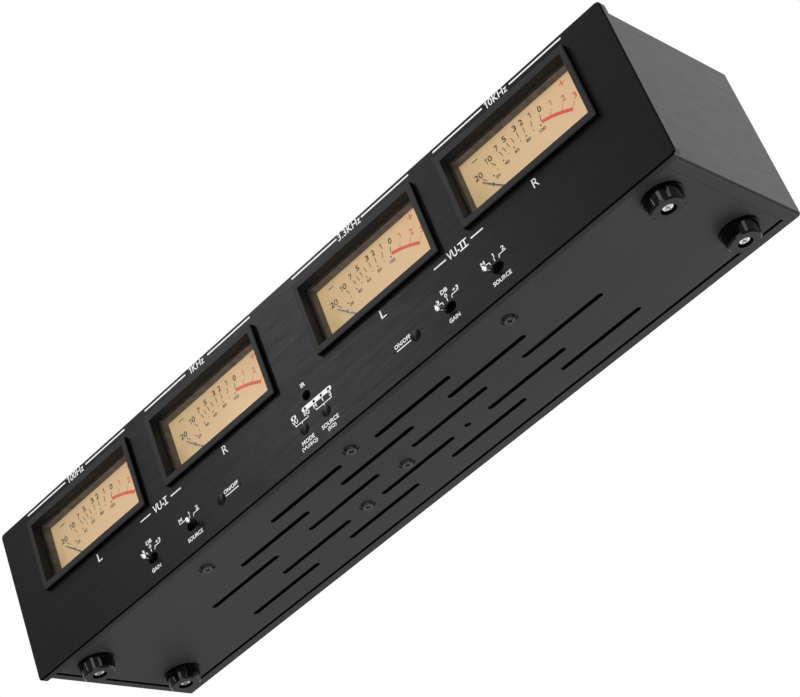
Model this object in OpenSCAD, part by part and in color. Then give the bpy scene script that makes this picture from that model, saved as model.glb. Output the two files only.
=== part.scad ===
// Four-meter analog VU display in a full-width component case.
// Millimetres. +X right, +Y towards the rear, +Z up. The origin is on the floor under the middle
// of the bounding box. Modules are drawn with y = 0 on the panel's front face and z = 0 on the floor.

/* [Front panel] */
// Width of the front panel
panel_w = 430; // [426:0.5:445]
// Height of the front panel
panel_h = 86.5; // [84:0.5:95]
// Thickness of the front panel
panel_t = 4; // [3.5:0.1:4.2]
// Corner radius of the front panel
panel_corner_r = 2.5; // [1:0.5:5]
// Width of the bevel round the front edge of the panel
panel_bevel = 0.7; // [0.2:0.1:0.8]

/* [Case] */
// Width of the case behind the panel
case_w = 424.8; // [424:0.2:426]
// Depth from the panel's front face to the rear panel's outer face
case_depth = 100.5; // [99:0.5:130]
// How far the panel stands above the top cover
overhang_top = 0.3; // [0:0.1:2]
// How far the panel reaches below the bottom plate
overhang_bottom = 0.8; // [0:0.1:1.5]
// Sheet thickness of cover, bottom plate and rear panel
sheet_t = 1.2; // [0.8:0.1:1.5]
// Outer bend radius of the folded cover
bend_r = 1.6; // [1.6:0.1:3]
// Width of the cover's bottom flanges, from the outer face
flange_w = 4.7; // [4.5:0.1:5.5]
// Width of the seam beside the bottom plate, left
seam_left = 1.8; // [0.3:0.1:2]
// Width of the seam beside the bottom plate, right
seam_right = 0.1; // [0.1:0.1:1.6]
// Width of the seam behind the bottom plate
seam_rear = 2.1; // [0.3:0.1:2.3]
// Depth of the rear panel's bottom flange
rear_flange = 5.5; // [4.5:0.1:7]

/* [Feet] */
// Height of a foot
foot_h = 7.5; // [6:0.5:14]
// Radius of a foot at its top rim
foot_r = 9.6; // [8.5:0.1:11]
// Radius of a foot near the floor
foot_low_r = 8.1; // [7:0.1:9]
// Radius of the screw recess in a foot
foot_recess_r = 3.7; // [3.5:0.1:5]
// Distance of the feet's middles from the side of the case
foot_inset = 19.9; // [18.4:0.1:27]
// Distance of the front feet behind the panel's front face
foot_front_y = 19.4; // [17:0.1:30]
// Distance of the rear feet behind the panel's front face
foot_rear_y = 77.7; // [70:0.1:80]
// How deep the screw head lies in a foot
foot_screw_depth = 1.1; // [0.8:0.1:2]

/* [Ventilation] */
// Length of a slot
slot_l = 49.5; // [30:0.5:60]
// Width of a slot
slot_w = 3.1; // [2:0.1:4]
// Distance between neighbouring slots of a row
slot_pitch = 72.8; // [66:0.1:74]

/* [Meters] */
// Panel between an outer bezel and the side of the case
side_room = 20.3; // [20:0.1:23]
// Panel between the two bezels of a pair
pair_room = 15.6; // [14.4:0.1:18]
// Panel between the two inner bezels
middle_room = 29.8; // [29:0.1:33]
// Height of the meters' middle above the panel's lower edge
meter_z = 59.3; // [58.8:0.1:60]
// Height of a bezel
bezel_h = 40.6; // [40:0.1:42]
// Width of a bezel's side rims
bezel_rim_x = 3; // [2.9:0.1:3.4]
// Width of a bezel's upper and lower rims
bezel_rim_z = 3.4; // [3.3:0.1:3.8]
// How far a bezel stands out of the panel
bezel_proud = 2.5; // [1:0.1:4]
// Wall of the bezel's collar inside the window
collar_t = 1.2; // [1:0.1:1.5]
// Depth of the lens behind the panel's front face
lens_y = 3; // [2.5:0.1:3.2]
// Thickness of the lens
lens_t = 1.5; // [1:0.1:1.6]
// Depth of the dial behind the panel's front face
dial_y = 9.3; // [9.1:0.1:9.5]
// Depth of a meter housing behind the panel
housing_depth = 30; // [29:0.5:40]

/* [Movement] */
// Height of the pointer's pivot above the panel's lower edge
pivot_z = 32.5; // [32:0.1:33.5]
// Length of the pointer from pivot to tip
pointer_l = 38.4; // [36:0.1:40]
// Angle of the resting pointer, left of upright
pointer_rest = 46; // [40:1:48]
// Outer radius of the yoke ring
yoke_r = 10; // [9.8:0.1:10.5]
// Radius of the iron core
core_r = 4.9; // [4:0.1:5]
// Mean radius of the coil's sides
coil_r = 6; // [5.9:0.05:6.1]

/* [Toggle switches] */
// Distance of the inner toggles from the middle plane
toggle_inner_x = 88.9; // [87:0.1:91]
// Distance of the outer toggles from the middle plane
toggle_outer_x = 118.3; // [117:0.1:120]
// Height of the toggles above the panel's lower edge
toggle_z = 13.2; // [13.1:0.1:14]
// Length of a lever from its pivot to its tip
lever_l = 14; // [12:0.5:18]
// Radius of a lever's tip
lever_tip_r = 1.4; // [1:0.1:1.5]
// Swing of a lever each side of its middle position
lever_throw = 14.5; // [8:0.5:15]
// Length of an oval toggle hole
toggle_hole_l = 6.8; // [6.6:0.1:8]
// Height of an oval toggle hole
toggle_hole_h = 4.8; // [4:0.1:5.2]

/* [Push buttons] */
// Distance of the power buttons from the middle plane
power_x = 67; // [64:0.5:72]
// Distance of the mode and source buttons from the middle plane
mode_x = 7.4; // [7:0.1:9]
// Height of the buttons above the panel's lower edge
button_z = 13.6; // [13.2:0.1:14]
// Radius of a button
button_r = 2.6; // [2:0.1:2.9]
// Travel of a button
button_travel = 0.5; // [0.2:0.1:0.6]

/* [Indicators] */
// Height of the infra-red window above the panel's lower edge
ir_z = 27.6; // [27:0.1:29]
// Radius of the infra-red window
ir_r = 2.5; // [1.5:0.1:3]
// Height of the indicator pin-holes above the panel's lower edge
led_z = 22.3; // [22:0.1:22.6]
// Radius of an indicator pin-hole
led_hole_r = 0.7; // [0.4:0.1:1.2]

/* [Rear connectors] */
// Outer radius of a phono jack's barrel
rca_r = 4.15; // [4:0.05:4.3]
// Length of a phono jack's barrel behind the rear panel
rca_l = 9; // [8:0.5:12]
// Length of the thinner neck between the rear panel and the barrel
rca_neck_l = 0.6; // [0.4:0.1:1]
// Distance between the two jacks of a pair
rca_pitch = 15; // [14.5:0.5:20]
// Position of the first jack of the left pair
rca_left_x = -60; // [-80:1:-40]
// Position of the first jack of the right pair
rca_right_x = 30; // [10:1:60]
// Distance of the power jack from the middle plane
dc_x = 118; // [100:1:125]

/* [Hidden] */
$fn = 40;
CHANNELS = [1, 2, 3, 4];
SIDES = [-1, 1];

// Heights above the floor
panel_z0 = foot_h - overhang_bottom;
case_z0 = foot_h;
case_z1 = panel_z0 + panel_h - overhang_top;
case_h = case_z1 - case_z0;
floor_z = case_z0 + sheet_t;

// Clearances
slip = 0.2;
running = 0.05;
seam_front = 0.3;
butt_gap = 0.1;

// Cover and bottom plate
plate_half_w = case_w / 2 - flange_w - seam_left;
foot_x = case_w / 2 - foot_inset;
plate_rear_y = case_depth - rear_flange - seam_rear;
lip_overlap = 3.2;
lip_root = 2;
edge_r = 0.8;

// Meter: window, lens, dial and housing. The four bezels share the width that the rooms leave
bezel_w = (case_w - 2 * side_room - 2 * pair_room - middle_room) / 4;
meter_pitch = bezel_w + pair_room;
meter_x = (middle_room + bezel_w) / 2;
window_w = bezel_w - 2 * bezel_rim_x + 2 * collar_t;
window_h = bezel_h - 2 * bezel_rim_z + 2 * collar_t;
skirt_w = bezel_w - 2 * bezel_rim_x - 3;
skirt_h = bezel_h - 2 * bezel_rim_z - 1.8;
skirt_t = 1.4;
dial_w = skirt_w + 3;
dial_h = skirt_h + 3;
dial_t = 0.8;
dial_back = dial_y + dial_t;
housing_wall = 1.4;
housing_w = window_w + 2 * slip + 2;
housing_drop = 12;
housing_top = meter_z + window_h / 2 + housing_wall;
housing_bottom = pivot_z - housing_drop;
housing_back = panel_t + housing_depth;
ledge = 3.6;
ear_w = 7;
ear_h = 10;
ear_t = 2.5;
meter_xs = [-meter_x - meter_pitch, -meter_x, meter_x, meter_x + meter_pitch];

// Movement, along the pivot axis
bridge_t = 1.2;
bridge_y = panel_t + 1.9;
hub_y = bridge_y + bridge_t + 0.6;
hub_l = 1.2;
coil_y = hub_y + hub_l + 0.9;
coil_t = 0.8;
coil_w = 3;
yoke_y = coil_y + coil_t + 0.4;
yoke_l = 10;
yoke_wall = 3;
core_inset = 1;
coil_end_y = yoke_y + yoke_l + 0.4;
rear_bridge_y = coil_end_y + coil_t + 2;
pivot_r = 0.4;
post_r = 1.3;
post_x = yoke_r - 1.4;
needle_w = 0.45;
needle_t = 0.4;

// Boards
board_t = 1.6;
control_y = panel_t + 8.5;
control_low = 4.7;
control_high = 19.2;
main_z = floor_z + 6;
main_top = main_z + board_t;
main_w = 290;
main_front_y = 50;

// Switches
toggle_w = 9;
toggle_h = 7;
toggle_y = panel_t + 1;
cavity_w = 7;
cavity_h = 4.4;
cavity_d = 4.6;
lever_pivot_y = panel_t + 3;
lever_pin_r = 0.75;
stem_r = 1.6;
tact_h = 3.4;
tact_y = control_y - tact_h;
flange_t = 0.8;

// Screws
screw_r = 1.5;
head_r = 3.1;
head_h = 1.8;
dimple_r = 4.2;
dimple_d = 0.5;
thread_depth = 2.6;
foot_seat_z = foot_screw_depth + head_h;

// Rails, brackets and blocks
rail_t = 2;
rail_depth = 16.5;
rail_rise = 7.3;
rail_foot_gap = 12.5;
rail_half_w = foot_x - rail_foot_gap;
rail_screw_xs = [-150, -48, 48, 150];
bracket_leg = 12;
bracket_margin = 5;
bracket_z0 = panel_z0 + 14;
block_s = 10;
block_gap = 0.6;
lip_front_y = panel_t + rail_depth + 2;
lip_rear_y = case_depth - sheet_t - block_s - 1;

led_xs = [-11.3, -3.4, 2.7, 7.6, 12.6];
led_r = 1.5;
mic_x = 53;
mic_r = 0.45;
rca_xs = [rca_left_x, rca_left_x + rca_pitch, rca_right_x, rca_right_x + rca_pitch];
rca_body_w = 10;
rca_body_h = 13;
rca_body_d = 10;
rca_z = main_top + 9;
dc_z = main_top + 6;
dc_bore_r = 3.1;

// Bottom screw positions: three into the rail, two into the main board's spacers, and a spare hole
rail_points = [[-103.3, 17.6], [0, 17.6], [103.3, 17.6]];
board_points = [[-34.8, 63.7], [0, 56.6]];
spare_point = [34.8, 63.7];
foot_points = [
    [-foot_x, foot_front_y],
    [foot_x, foot_front_y],
    [-foot_x, foot_rear_y],
    [foot_x, foot_rear_y]
];
spacer_xs = [-103.6, -30, 30, 103.6];
spacer_z = 13.2;

// Slot rows: distance behind the panel's front face, and slot numbers in half pitches
slot_rows = [
    [22.7, [-0.5, 0.5]],
    [35.7, [-1, 0, 1]],
    [48.7, [-1.5, -0.5, 0.5, 1.5]],
    [64.6, [-1, 0, 1]],
    [77.5, [-1.5, -0.5, 0.5, 1.5]]
];

// Bounding box in depth: from the tip of an upright lever to the end of the phono jacks
front_reach = lever_pivot_y - lever_l;
rear_reach = case_depth + rca_l;
mid_y = (front_reach + rear_reach) / 2;

// ---------- helpers ----------

// A flat outline in x and z, extruded from y0 towards the rear
module along_y(y0, length) {
    translate([0, y0, 0])
        rotate([-90, 0, 0])
            linear_extrude(length)
                mirror([0, 1])
                    children();
}

// A cylinder along the depth
module rod_y(r, y0, length) {
    translate([0, y0, 0])
        rotate([-90, 0, 0])
            cylinder(r = r, h = length);
}

// A box given by its low corner and its size
module box(low, size) {
    translate(low)
        cube(size);
}

module rounded_rect(w, h, r) {
    square([w - 2 * r, h], center = true);
    square([w, h - 2 * r], center = true);
    for (sx = SIDES, sz = SIDES)
        translate([sx * (w / 2 - r), sz * (h / 2 - r)])
            circle(r);
}

module slot_outline(length, width) {
    square([length - width, width], center = true);
    for (s = SIDES)
        translate([s * (length - width) / 2, 0])
            circle(width / 2);
}

// A 45 degree bevel of width c round the front edge of a rounded plate whose front is at y = 0
module bevel_cut(w, h, r, c) {
    reach = r + c + 1;
    for (s = SIDES) {
        translate([s * w / 2, 0, 0])
            rotate([0, 0, 45])
                cube([c * sqrt(2), c * sqrt(2), h - 2 * r], center = true);
        translate([0, 0, s * h / 2])
            rotate([45, 0, 0])
                cube([w - 2 * r, c * sqrt(2), c * sqrt(2)], center = true);
    }
    for (sx = SIDES, sz = SIDES)
        translate([sx * (w / 2 - r), 0, sz * (h / 2 - r)])
            intersection() {
                rotate([-90, 0, 0])
                    rotate_extrude()
                        polygon([[r - c, 0], [r, c], [r + c, 0], [r, -c]]);
                box([sx > 0 ? 0 : -reach, -reach, sz > 0 ? 0 : -reach], [reach, 2 * reach, reach]);
            }
}

// Pan-head screw along +Y: the head's underside is at y = 0 and the shank runs forward
module panel_screw(shank) {
    difference() {
        union() {
            rod_y(head_r - 0.5, 0, head_h);
            rod_y(screw_r - running, -shank, shank + 0.1);
        }
        cross_recess_y(head_h);
    }
}

module cross_recess_y(y1) {
    recess_l = 3;
    recess_w = 0.7;
    recess_d = 0.9;
    box([-recess_l / 2, y1 - recess_d, -recess_w / 2], [recess_l, recess_d + 1, recess_w]);
    box([-recess_w / 2, y1 - recess_d, -recess_l / 2], [recess_w, recess_d + 1, recess_l]);
}

// Pan-head screw pointing up: the head's upper face is at z = 0 and the shank rises
module rising_screw(head, shank) {
    recess_l = 3.2;
    recess_w = 0.8;
    recess_d = 1;
    difference() {
        union() {
            translate([0, 0, -head_h])
                cylinder(r1 = head - 0.5, r2 = head, h = head_h);
            cylinder(r = screw_r - running, h = shank);
        }
        box([-recess_l / 2, -recess_w / 2, -head_h - 1], [recess_l, recess_w, recess_d + 1]);
        box([-recess_w / 2, -recess_l / 2, -head_h - 1], [recess_w, recess_l, recess_d + 1]);
    }
}

module hex_y(across, y0, length) {
    translate([0, y0, 0])
        rotate([-90, 0, 0])
            cylinder(d = across / cos(30), h = length, $fn = 6);
}

module at_panel(x, z) {
    translate([x, 0, panel_z0 + z])
        children();
}

// ---------- case ----------

module front_panel() {
    color([0.15, 0.15, 0.16])
    difference() {
        at_panel(0, panel_h / 2)
            along_y(0, panel_t)
                rounded_rect(panel_w, panel_h, panel_corner_r);
        for (x = meter_xs)
            at_panel(x, meter_z)
                along_y(-1, panel_t + 2)
                    rounded_rect(window_w + 2 * slip, window_h + 2 * slip, edge_r);
        for (s = SIDES, x = [toggle_inner_x, toggle_outer_x])
            at_panel(s * x, toggle_z)
                along_y(-1, panel_t + 2)
                    slot_outline(toggle_hole_l, toggle_hole_h);
        for (s = SIDES, x = [power_x, mode_x])
            at_panel(s * x, button_z)
                rod_y(button_r + slip, -1, panel_t + 2);
        at_panel(0, ir_z)
            rod_y(ir_r, -1, panel_t + 2);
        for (x = led_xs)
            at_panel(x, led_z)
                rod_y(led_hole_r, -1, panel_t + 2);
        for (s = SIDES)
            at_panel(s * mic_x, button_z)
                rod_y(mic_r, -1, panel_t + 2);
        for (p = inner_screw_points())
            translate([p[0], 0, p[2]])
                rod_y(screw_r, panel_t - thread_depth, thread_depth + 1);
        at_panel(0, panel_h / 2)
            bevel_cut(panel_w, panel_h, panel_corner_r, panel_bevel);
    }
}

// Screws into the back of the panel: x, depth of the screwed face behind the panel, and height
function rail_screws() = [for (x = rail_screw_xs) [x, rail_t, floor_z + rail_t + head_r]];
function bracket_screws() = [
    for (s = SIDES, z = [10, case_h - 35])
        [s * (case_w / 2 - sheet_t - bracket_leg / 2 - 1), rail_t, bracket_z0 + z]
];
function ear_screws() = [
    for (x = meter_xs, s = SIDES)
        [x + s * (housing_w / 2 + ear_w / 2), ear_t, panel_z0 + meter_z]
];
function inner_screw_points() = concat(rail_screws(), bracket_screws(), ear_screws());

module cover_outline() {
    inner_r = bend_r - sheet_t + 0.1;
    difference() {
        rounded_rect(case_w, case_h, bend_r);
        rounded_rect(case_w - 2 * sheet_t, case_h - 2 * sheet_t, inner_r);
        translate([-plate_half_w - seam_left, -case_h / 2 - 1])
            square([2 * plate_half_w + seam_left + seam_right, sheet_t + 2]);
    }
}

module top_cover() {
    color([0.2, 0.2, 0.21])
        translate([0, 0, case_z0 + case_h / 2])
            along_y(panel_t, case_depth - panel_t)
                cover_outline();
}

module bottom_plate() {
    front_y = panel_t + seam_front;
    lip_half_w = plate_half_w + lip_overlap;
    color([0.17, 0.17, 0.18])
    difference() {
        union() {
            box([-plate_half_w, front_y, case_z0], [2 * plate_half_w, plate_rear_y - front_y, sheet_t]);
            for (s = SIDES)
                box(
                    [s > 0 ? plate_half_w - lip_root : -lip_half_w, lip_front_y, floor_z],
                    [lip_root + lip_overlap, lip_rear_y - lip_front_y, sheet_t]
                );
            box([-main_w / 2, plate_rear_y - lip_root, floor_z], [main_w, lip_root + lip_overlap, sheet_t]);
        }
        for (row = slot_rows, n = row[1])
            translate([n * slot_pitch, row[0], case_z0 - 1])
                linear_extrude(sheet_t + 2)
                    slot_outline(slot_l, slot_w);
        for (p = concat(rail_points, board_points)) {
            translate([p[0], p[1], case_z0 - 1])
                cylinder(r = screw_r + slip, h = sheet_t + 2);
            translate([p[0], p[1], case_z0 - 1])
                cylinder(r = dimple_r, h = 1 + dimple_d);
        }
        for (p = concat(foot_points, [spare_point]))
            translate([p[0], p[1], case_z0 - 1])
                cylinder(r = screw_r + slip, h = sheet_t + 2);
    }
}

module rear_panel() {
    inner_half_w = case_w / 2 - sheet_t - slip;
    flange_left = -plate_half_w - seam_left + butt_gap;
    flange_right = plate_half_w + seam_right - butt_gap;
    color([0.17, 0.17, 0.18])
    difference() {
        union() {
            box(
                [-inner_half_w, case_depth - sheet_t, floor_z + slip],
                [2 * inner_half_w, sheet_t, case_h - 2 * sheet_t - 2 * slip]
            );
            box(
                [flange_left, case_depth - sheet_t, case_z0],
                [flange_right - flange_left, sheet_t, sheet_t + 2 * slip]
            );
            box(
                [flange_left, case_depth - rear_flange, case_z0],
                [flange_right - flange_left, rear_flange, sheet_t]
            );
        }
        for (x = rca_xs)
            translate([x, 0, rca_z])
                rod_y(rca_r + slip, case_depth - sheet_t - 1, sheet_t + 2);
        translate([dc_x, 0, dc_z])
            rod_y(dc_bore_r + 1.4 + slip, case_depth - sheet_t - 1, sheet_t + 2);
        for (p = block_points())
            translate([p[0], 0, p[1]])
                rod_y(screw_r + slip, case_depth - sheet_t - 1, sheet_t + 2);
    }
}

// Screws through the rear panel: x and height above the floor
function block_points() = [
    for (s = SIDES, z = [floor_z + block_gap + block_s / 2, case_z1 - sheet_t - block_gap - block_s / 2])
        [s * (case_w / 2 - sheet_t - block_s / 2), z]
];

module corner_blocks() {
    color([0.6, 0.6, 0.62])
    for (p = block_points())
        translate([p[0], 0, p[1]])
            difference() {
                along_y(case_depth - sheet_t - block_s, block_s)
                    square(block_s, center = true);
                rod_y(screw_r, case_depth - sheet_t - block_s + 2, block_s);
            }
}

// ---------- what carries the front panel ----------

module panel_rail() {
    color([0.65, 0.65, 0.67])
    difference() {
        union() {
            box([-rail_half_w, panel_t, floor_z], [2 * rail_half_w, rail_depth, rail_t]);
            box([-rail_half_w, panel_t, floor_z], [2 * rail_half_w, rail_t, rail_rise]);
        }
        for (p = rail_points)
            translate([p[0], p[1], floor_z - 1])
                cylinder(r = screw_r, h = rail_t + 2);
        for (p = rail_screws())
            translate([p[0], 0, p[2]])
                rod_y(screw_r + slip, panel_t - 1, rail_t + 2);
    }
}

module side_bracket(s) {
    outer_x = case_w / 2 - sheet_t;
    color([0.65, 0.65, 0.67])
    difference() {
        mirror([s < 0 ? 1 : 0, 0, 0])
            union() {
                box(
                    [outer_x - bracket_leg, panel_t, bracket_z0],
                    [bracket_leg, rail_t, case_z1 - sheet_t - bracket_margin - bracket_z0]
                );
                box(
                    [outer_x - rail_t, panel_t, bracket_z0],
                    [rail_t, rail_depth, case_z1 - sheet_t - bracket_margin - bracket_z0]
                );
            }
        for (p = bracket_screws())
            translate([p[0], 0, p[2]])
                rod_y(screw_r + slip, panel_t - 1, rail_t + 2);
    }
}

// ---------- feet and fasteners ----------

module foot() {
    rim_h = 1.3;
    edge_h = 0.8;
    color([0.08, 0.08, 0.09])
        rotate_extrude()
            polygon([
                [foot_recess_r, 0],
                [foot_low_r - edge_h, 0],
                [foot_low_r, edge_h],
                [foot_r - 0.4, foot_h - rim_h],
                [foot_r, foot_h - rim_h],
                [foot_r, foot_h],
                [screw_r + slip, foot_h],
                [screw_r + slip, foot_seat_z],
                [foot_recess_r, foot_seat_z]
            ]);
}

module foot_screws() {
    nut_h = 2.4;
    nut_across = 5.5;
    color([0.8, 0.8, 0.82])
    for (p = foot_points)
        translate([p[0], p[1], 0]) {
            translate([0, 0, foot_seat_z])
                rising_screw(head_r - 0.1, floor_z - foot_seat_z + nut_h + 1);
            translate([0, 0, floor_z])
                difference() {
                    cylinder(d = nut_across / cos(30), h = nut_h, $fn = 6);
                    translate([0, 0, -1])
                        cylinder(r = screw_r, h = nut_h + 2);
                }
        }
}

module case_screws() {
    color([0.12, 0.12, 0.13]) {
        for (p = rail_points)
            translate([p[0], p[1], case_z0 + dimple_d])
                rising_screw(head_r, sheet_t - dimple_d + rail_t + 1);
        for (p = board_points)
            translate([p[0], p[1], case_z0 + dimple_d])
                rising_screw(head_r, sheet_t - dimple_d + 3);
        for (p = block_points())
            translate([p[0], case_depth, p[1]])
                panel_screw(sheet_t + 5);
    }
}

module inner_screws() {
    color([0.75, 0.75, 0.77]) {
        for (p = inner_screw_points())
            translate([p[0], panel_t + p[1], p[2]])
                panel_screw(p[1] + thread_depth - 0.4);
        for (x = spacer_xs)
            at_panel(x, spacer_z)
                translate([0, control_y + board_t, 0])
                    panel_screw(board_t + 3);
        for (p = concat(board_points, [spare_point]))
            translate([p[0], p[1], main_top])
                mirror([0, 0, 1])
                    rising_screw(head_r - 0.4, board_t + 2);
    }
}

module hex_spacers() {
    across = 5.5;
    color([0.78, 0.68, 0.35]) {
        for (x = spacer_xs)
            at_panel(x, spacer_z)
                difference() {
                    hex_y(across, panel_t, control_y - panel_t);
                    rod_y(screw_r, panel_t + 4, control_y);
                }
        for (p = concat(board_points, [spare_point]))
            translate([p[0], p[1], floor_z])
                difference() {
                    cylinder(d = across / cos(30), h = main_z - floor_z, $fn = 6);
                    translate([0, 0, -1])
                        cylinder(r = screw_r, h = main_z - floor_z + 2);
                }
    }
}

// ---------- meters, drawn about the window's middle ----------

module window_outline() {
    rounded_rect(bezel_w - 2 * bezel_rim_x, bezel_h - 2 * bezel_rim_z, 0.5);
}

module bezel() {
    bevel = 0.4;
    color([0.13, 0.13, 0.14])
    difference() {
        union() {
            along_y(-bezel_proud, bezel_proud)
                rounded_rect(bezel_w, bezel_h, edge_r);
            along_y(0, lens_y)
                rounded_rect(window_w, window_h, edge_r);
        }
        along_y(-bezel_proud - 1, bezel_proud + lens_y + 2)
            window_outline();
        translate([0, -bezel_proud, 0])
            bevel_cut(bezel_w, bezel_h, edge_r, bevel);
    }
}

module lens() {
    skirt_y = lens_y + lens_t;
    color([0.75, 0.78, 0.8, 0.35])
    difference() {
        union() {
            along_y(lens_y, lens_t)
                rounded_rect(window_w - 2 * slip, window_h - 2 * slip, edge_r);
            along_y(skirt_y, dial_y - skirt_y)
                square([skirt_w + 2 * skirt_t, skirt_h + 2 * skirt_t], center = true);
        }
        along_y(skirt_y, dial_y)
            square([skirt_w, skirt_h], center = true);
        box(
            [-skirt_w / 2 - skirt_t - 1, skirt_y, -skirt_h / 2 - skirt_t - 1],
            [skirt_w + 2 * skirt_t + 2, dial_y, skirt_t + 1]
        );
    }
}

module dial() {
    color([0.93, 0.83, 0.62])
        along_y(dial_y, dial_t)
            square([dial_w, dial_h], center = true);
}

module meter_housing() {
    low = housing_bottom - meter_z;
    high = housing_top - meter_z;
    inner_w = housing_w - 2 * housing_wall;
    lens_top = window_h / 2 + slip;
    mouth_y = panel_t - 1;
    chamber_end = housing_back - housing_wall;
    color([0.3, 0.29, 0.27])
    difference() {
        union() {
            box([-housing_w / 2, panel_t, low], [housing_w, housing_depth, high - low]);
            for (s = SIDES)
                box(
                    [s > 0 ? housing_w / 2 : -housing_w / 2 - ear_w, panel_t, -ear_h / 2],
                    [ear_w, ear_t, ear_h]
                );
        }
        // window for the lens and the dial
        box([-dial_w / 2 - slip, mouth_y, -lens_top], [dial_w + 2 * slip, dial_back - mouth_y, 2 * lens_top]);
        box([-window_w / 2, mouth_y, -lens_top], [window_w, lens_y + lens_t + slip - mouth_y, 2 * lens_top]);
        // chamber for the pointer and the movement
        box(
            [-inner_w / 2 + ledge, dial_back - 0.1, low + housing_wall],
            [inner_w - 2 * ledge, chamber_end - dial_back + 0.1, high - low - housing_wall - ledge]
        );
        box(
            [-inner_w / 2 + ledge, panel_t + housing_wall, low + housing_wall],
            [inner_w - 2 * ledge, chamber_end - panel_t - housing_wall, -low - housing_wall]
        );
        for (s = SIDES)
            translate([s * (housing_w / 2 + ear_w / 2), 0, 0])
                rod_y(screw_r + slip, panel_t - 1, ear_t + 2);
    }
}

// Moving-coil movement, drawn about the pivot axis: iron yoke ring round a core, two struts between
// them where the coil never sweeps, and a bridge with a bearing hole at each end
module movement() {
    post_end = housing_back - housing_wall;
    yoke_end = yoke_y + yoke_l;
    yoke_hole_r = yoke_r - yoke_wall;
    strut_w = 3;
    color([0.55, 0.55, 0.58]) {
        difference() {
            rod_y(yoke_r, yoke_y, yoke_l);
            rod_y(yoke_hole_r, yoke_y - 1, yoke_l + 2);
        }
        rod_y(core_r, yoke_y + core_inset, yoke_l - 2 * core_inset);
        for (s = SIDES)
            translate([-strut_w / 2, yoke_y + 2 * core_inset, s > 0 ? core_r - 0.5 : -yoke_hole_r - 0.5])
                cube([strut_w, yoke_l - 4 * core_inset, yoke_hole_r - core_r + 1]);
        for (s = SIDES) {
            translate([s * post_x, 0, 0])
                rod_y(post_r, bridge_y, yoke_y - bridge_y);
            translate([s * post_x, 0, 0])
                rod_y(post_r, yoke_end, post_end - yoke_end);
        }
        for (y = [bridge_y, rear_bridge_y])
            difference() {
                box([-post_x, y, -post_r], [2 * post_x, bridge_t, 2 * post_r]);
                rod_y(pivot_r + running, y - 1, bridge_t + 2);
            }
    }
}

// Pointer with hub, counterweights, coil and arbor, drawn upright about the pivot axis
module pointer() {
    end_y = rear_bridge_y + bridge_t - 0.3;
    tail_l = 9.4;
    weight_r = 1.4;
    weight_l = 3.5;
    arm_l = 5.2;
    hub_r = 1.5;
    arbor_r = 0.8;
    color([0.1, 0.1, 0.1])
    rotate([0, -pointer_rest, 0]) {
        rod_y(pivot_r, bridge_y + 0.3, hub_y - bridge_y);
        rod_y(hub_r, hub_y, hub_l);
        rod_y(arbor_r, hub_y + hub_l, coil_y - hub_y - hub_l);
        along_y(hub_y + hub_l / 3, needle_t)
            polygon([
                [-needle_w, 0],
                [-needle_w / 2, pointer_l],
                [needle_w / 2, pointer_l],
                [needle_w, 0],
                [needle_w / 2, -tail_l],
                [-needle_w / 2, -tail_l]
            ]);
        along_y(hub_y + hub_l / 3, needle_t)
            square([2 * arm_l, needle_w], center = true);
        translate([0, hub_y + hub_l / 3 + needle_t / 2, -tail_l])
            cylinder(r = weight_r, h = weight_l);
        for (y = [coil_y, coil_end_y])
            box([-coil_r - coil_t / 2, y, -coil_w / 2], [2 * coil_r + coil_t, coil_t, coil_w]);
        for (s = SIDES)
            box(
                [s * coil_r - coil_t / 2, coil_y, -coil_w / 2],
                [coil_t, coil_end_y + coil_t - coil_y, coil_w]
            );
        rod_y(arbor_r, coil_end_y + coil_t, rear_bridge_y - 0.3 - coil_end_y - coil_t);
        rod_y(pivot_r, rear_bridge_y - 0.4, end_y - rear_bridge_y + 0.4);
    }
}

// ---------- switches ----------

module toggle_body() {
    color([0.12, 0.12, 0.13])
    difference() {
        box([-toggle_w / 2, toggle_y, -toggle_h / 2], [toggle_w, control_y - toggle_y, toggle_h]);
        box([-cavity_w / 2, toggle_y - 1, -cavity_h / 2], [cavity_w, cavity_d + 1, cavity_h]);
        translate([0, lever_pivot_y, -toggle_h / 2 - 1])
            cylinder(r = lever_pin_r + running, h = toggle_h + 2);
    }
}

// Lever with its cross pin, drawn in the middle position about its pivot
module lever(angle) {
    neck_r = 0.75;
    tail_l = 2;
    dome_y = lever_l - lever_tip_r;
    color([0.8, 0.8, 0.82])
    translate([0, lever_pivot_y, 0])
        rotate([0, 0, angle]) {
            rotate([90, 0, 0])
                cylinder(r1 = neck_r, r2 = lever_tip_r, h = dome_y);
            translate([0, -dome_y, 0])
                sphere(r = lever_tip_r);
            rod_y(neck_r, 0, tail_l);
            translate([0, 0, -toggle_h / 2 + 0.1])
                cylinder(r = lever_pin_r, h = toggle_h - 0.2);
        }
}

module button() {
    proud = 0.4;
    dome = 9;
    flange_r = button_r + 0.8;
    color([0.1, 0.1, 0.11]) {
        intersection() {
            rod_y(button_r, -proud - 1, panel_t + proud + 1.2);
            translate([0, dome - proud, 0])
                sphere(r = dome);
        }
        rod_y(flange_r, panel_t + 0.1, flange_t);
        rod_y(stem_r, panel_t + 0.1, tact_y - panel_t + 1.3);
    }
}

module tact_switches() {
    side = 6;
    color([0.15, 0.15, 0.16])
    for (s = SIDES, x = [power_x, mode_x])
        at_panel(s * x, button_z)
            difference() {
                along_y(tact_y, tact_h)
                    square(side, center = true);
                rod_y(stem_r + running, tact_y - 1, 1 + 1.4 + button_travel + slip);
            }
}

// ---------- electronics ----------

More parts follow.
